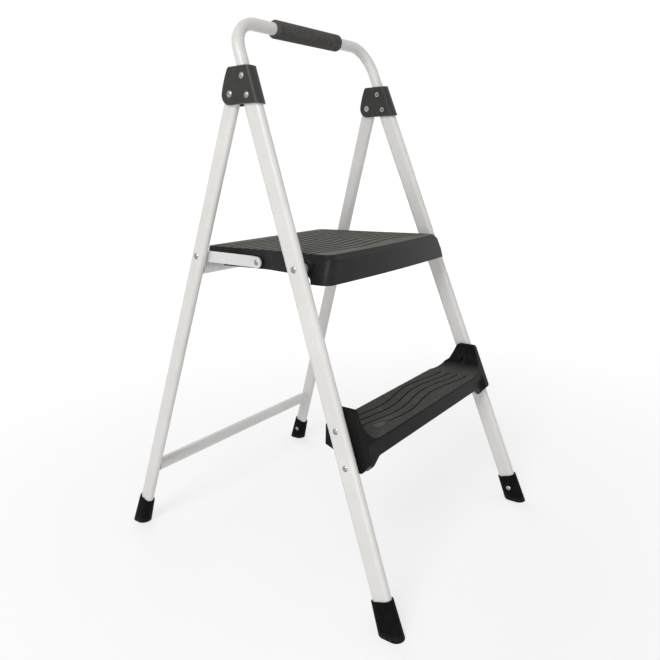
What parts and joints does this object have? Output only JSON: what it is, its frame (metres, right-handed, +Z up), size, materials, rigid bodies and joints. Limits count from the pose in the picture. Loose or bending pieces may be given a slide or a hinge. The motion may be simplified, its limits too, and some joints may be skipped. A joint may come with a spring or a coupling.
{
  "type": "folding step stool",
  "caption": "Folding step stool with leaning tubular legs, a deep platform, a narrow lower step, folding links and a loop handle with a foam grip.",
  "frame": {"origin": "on the floor, midway between the legs and midway between the front and rear soles", "axes": "+Z up, -Y towards the person climbing, +X to the right seen from behind the stool's front"},
  "size_m": [0.507, 0.606, 0.887],
  "materials": {
    "white_coat": "semi-gloss white powder coat",
    "link_coat": "semi-gloss light grey coat",
    "black_moulding": "fine moulded grain",
    "foot_rubber": "matt moulded rubber",
    "grip_foam": "closed-cell foam",
    "zinc_steel": "bright zinc plate",
    "bush_nylon": "natural nylon"
  },
  "bodies": {
    "front_frame": {"front_leg_left": "white_coat", "front_leg_right": "white_coat", "handle_loop": "white_coat", "foam_grip": "grip_foam", "hinge_bracket_left": "black_moulding", "hinge_bracket_right": "black_moulding", "bracket_rivets": "zinc_steel", "hinge_pins": "zinc_steel", "lower_step": "black_moulding", "step_rivets": "zinc_steel", "platform_pivot_pins": "zinc_steel", "pivot_spacers": "bush_nylon", "front_foot_left": "foot_rubber", "front_foot_right": "foot_rubber", "front_foot_rivets": "zinc_steel"},
    "rear_frame": {"rear_leg_left": "white_coat", "rear_leg_right": "white_coat", "upper_crossbar": "white_coat", "lower_crossbar": "white_coat", "rear_foot_left": "foot_rubber", "rear_foot_right": "foot_rubber", "rear_foot_rivets": "zinc_steel", "link_leg_rivets": "zinc_steel"},
    "platform_body": {"platform": "black_moulding", "platform_bushes": "bush_nylon"},
    "link_body_left": {"link_left": "link_coat", "link_rivet_left": "zinc_steel"},
    "link_body_right": {"link_right": "link_coat", "link_rivet_right": "zinc_steel"}
  },
  "joints": [
    {"name": "rear_fold", "type": "hinge", "parent": "front_frame", "child": "rear_frame", "pos_m": [0, 0.02563, 0.767], "axis": [-1, 0, 0], "range_deg": [0, 37.7]},
    {"name": "platform_fold", "type": "hinge", "parent": "front_frame", "child": "platform_body", "pos_m": [0, -0.0981, 0.515], "axis": [1, 0, 0], "range_deg": [0, 70.3]},
    {"name": "link_fold_left", "type": "hinge", "parent": "rear_frame", "child": "link_body_left", "pos_m": [0, 0.10832, 0.522], "axis": [-1, 0, 0], "range_deg": [0, 57.01]},
    {"name": "link_fold_right", "type": "hinge", "parent": "rear_frame", "child": "link_body_right", "pos_m": [0, 0.10832, 0.522], "axis": [-1, 0, 0], "range_deg": [0, 57.01]}
  ],
  "couplings": [
    {"joint": "platform_fold", "follows": "rear_fold", "ratio": 1.8647},
    {"joint": "link_fold_left", "follows": "rear_fold", "ratio": 1.5122},
    {"joint": "link_fold_right", "follows": "rear_fold", "ratio": 1.5122}
  ]
}
